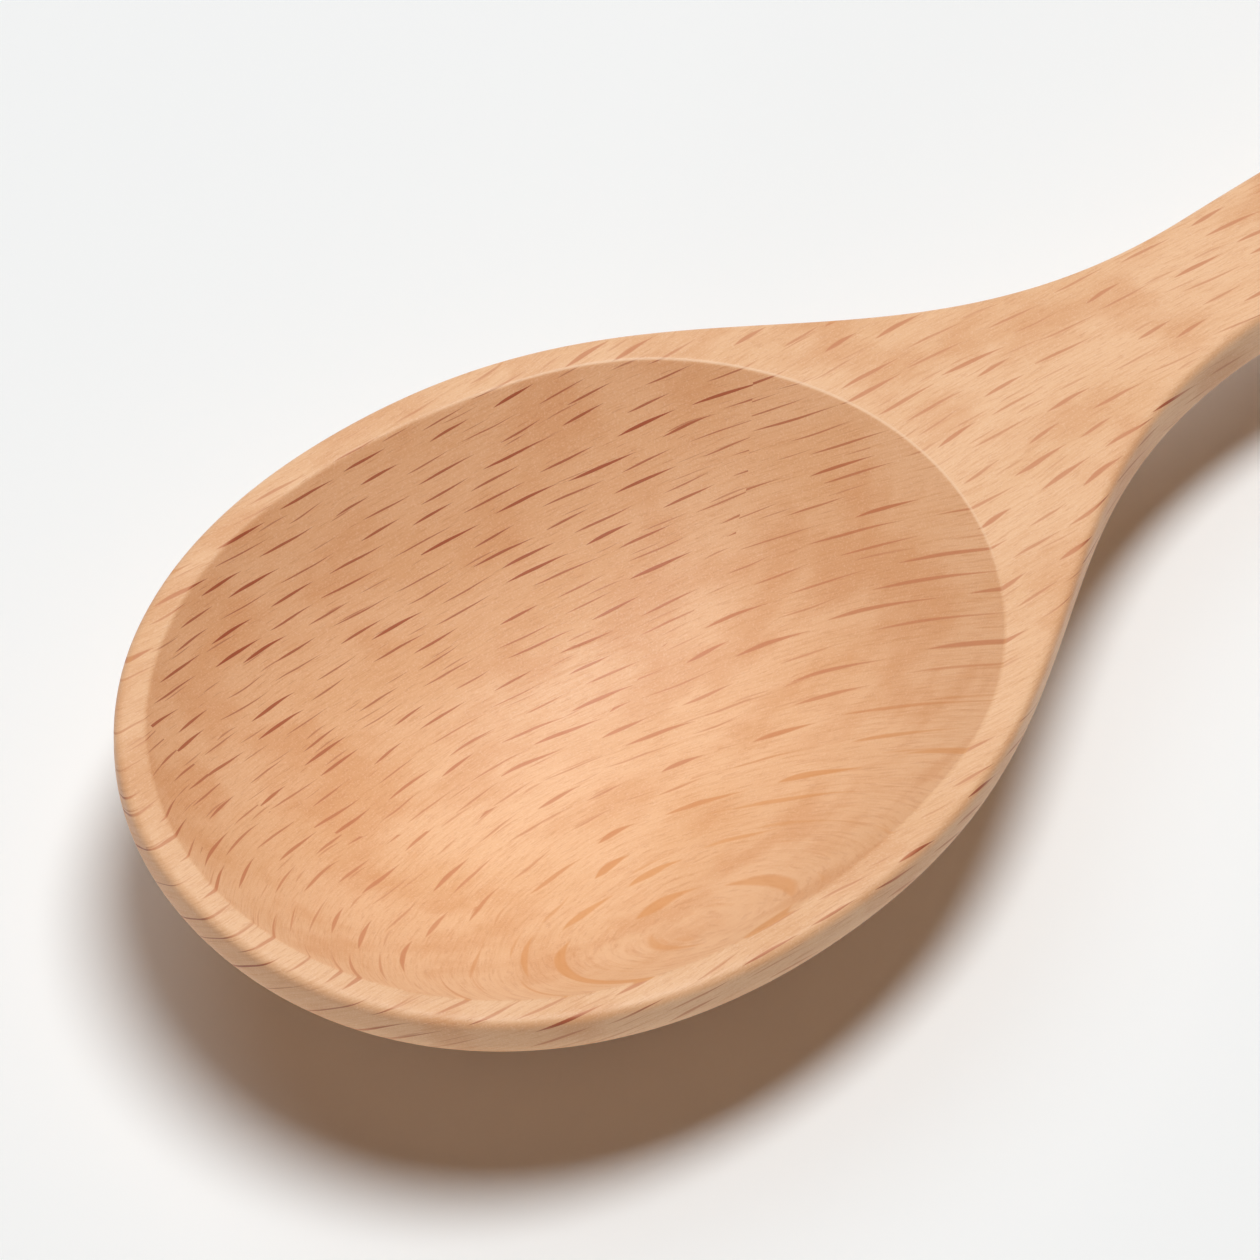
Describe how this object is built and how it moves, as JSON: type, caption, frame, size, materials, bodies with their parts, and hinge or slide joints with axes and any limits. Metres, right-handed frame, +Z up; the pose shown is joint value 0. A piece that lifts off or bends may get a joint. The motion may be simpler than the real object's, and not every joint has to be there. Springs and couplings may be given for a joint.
{
  "type": "wooden spoon",
  "caption": "Carved beech cooking spoon with an egg-shaped hollow bowl, a flat rim, a slim neck and a soft oval handle, for stirring, tasting and serving.",
  "frame": {"origin": "on the table under the middle of the spoon's box, with the spoon lying face up on its belly and on the heel of its handle", "axes": "+X along the spoon from the bowl's tip to the handle's end, +Y to the left when looking along +X, +Z up from the table; the flat rim leans 2.04 degrees, lower towards the handle"},
  "size_m": [0.2998, 0.06, 0.0199],
  "materials": {
    "beech": "unvarnished beech, sanded smooth and lightly oiled"
  },
  "bodies": {
    "root": {"spoon": "beech"}
  },
  "joints": []
}
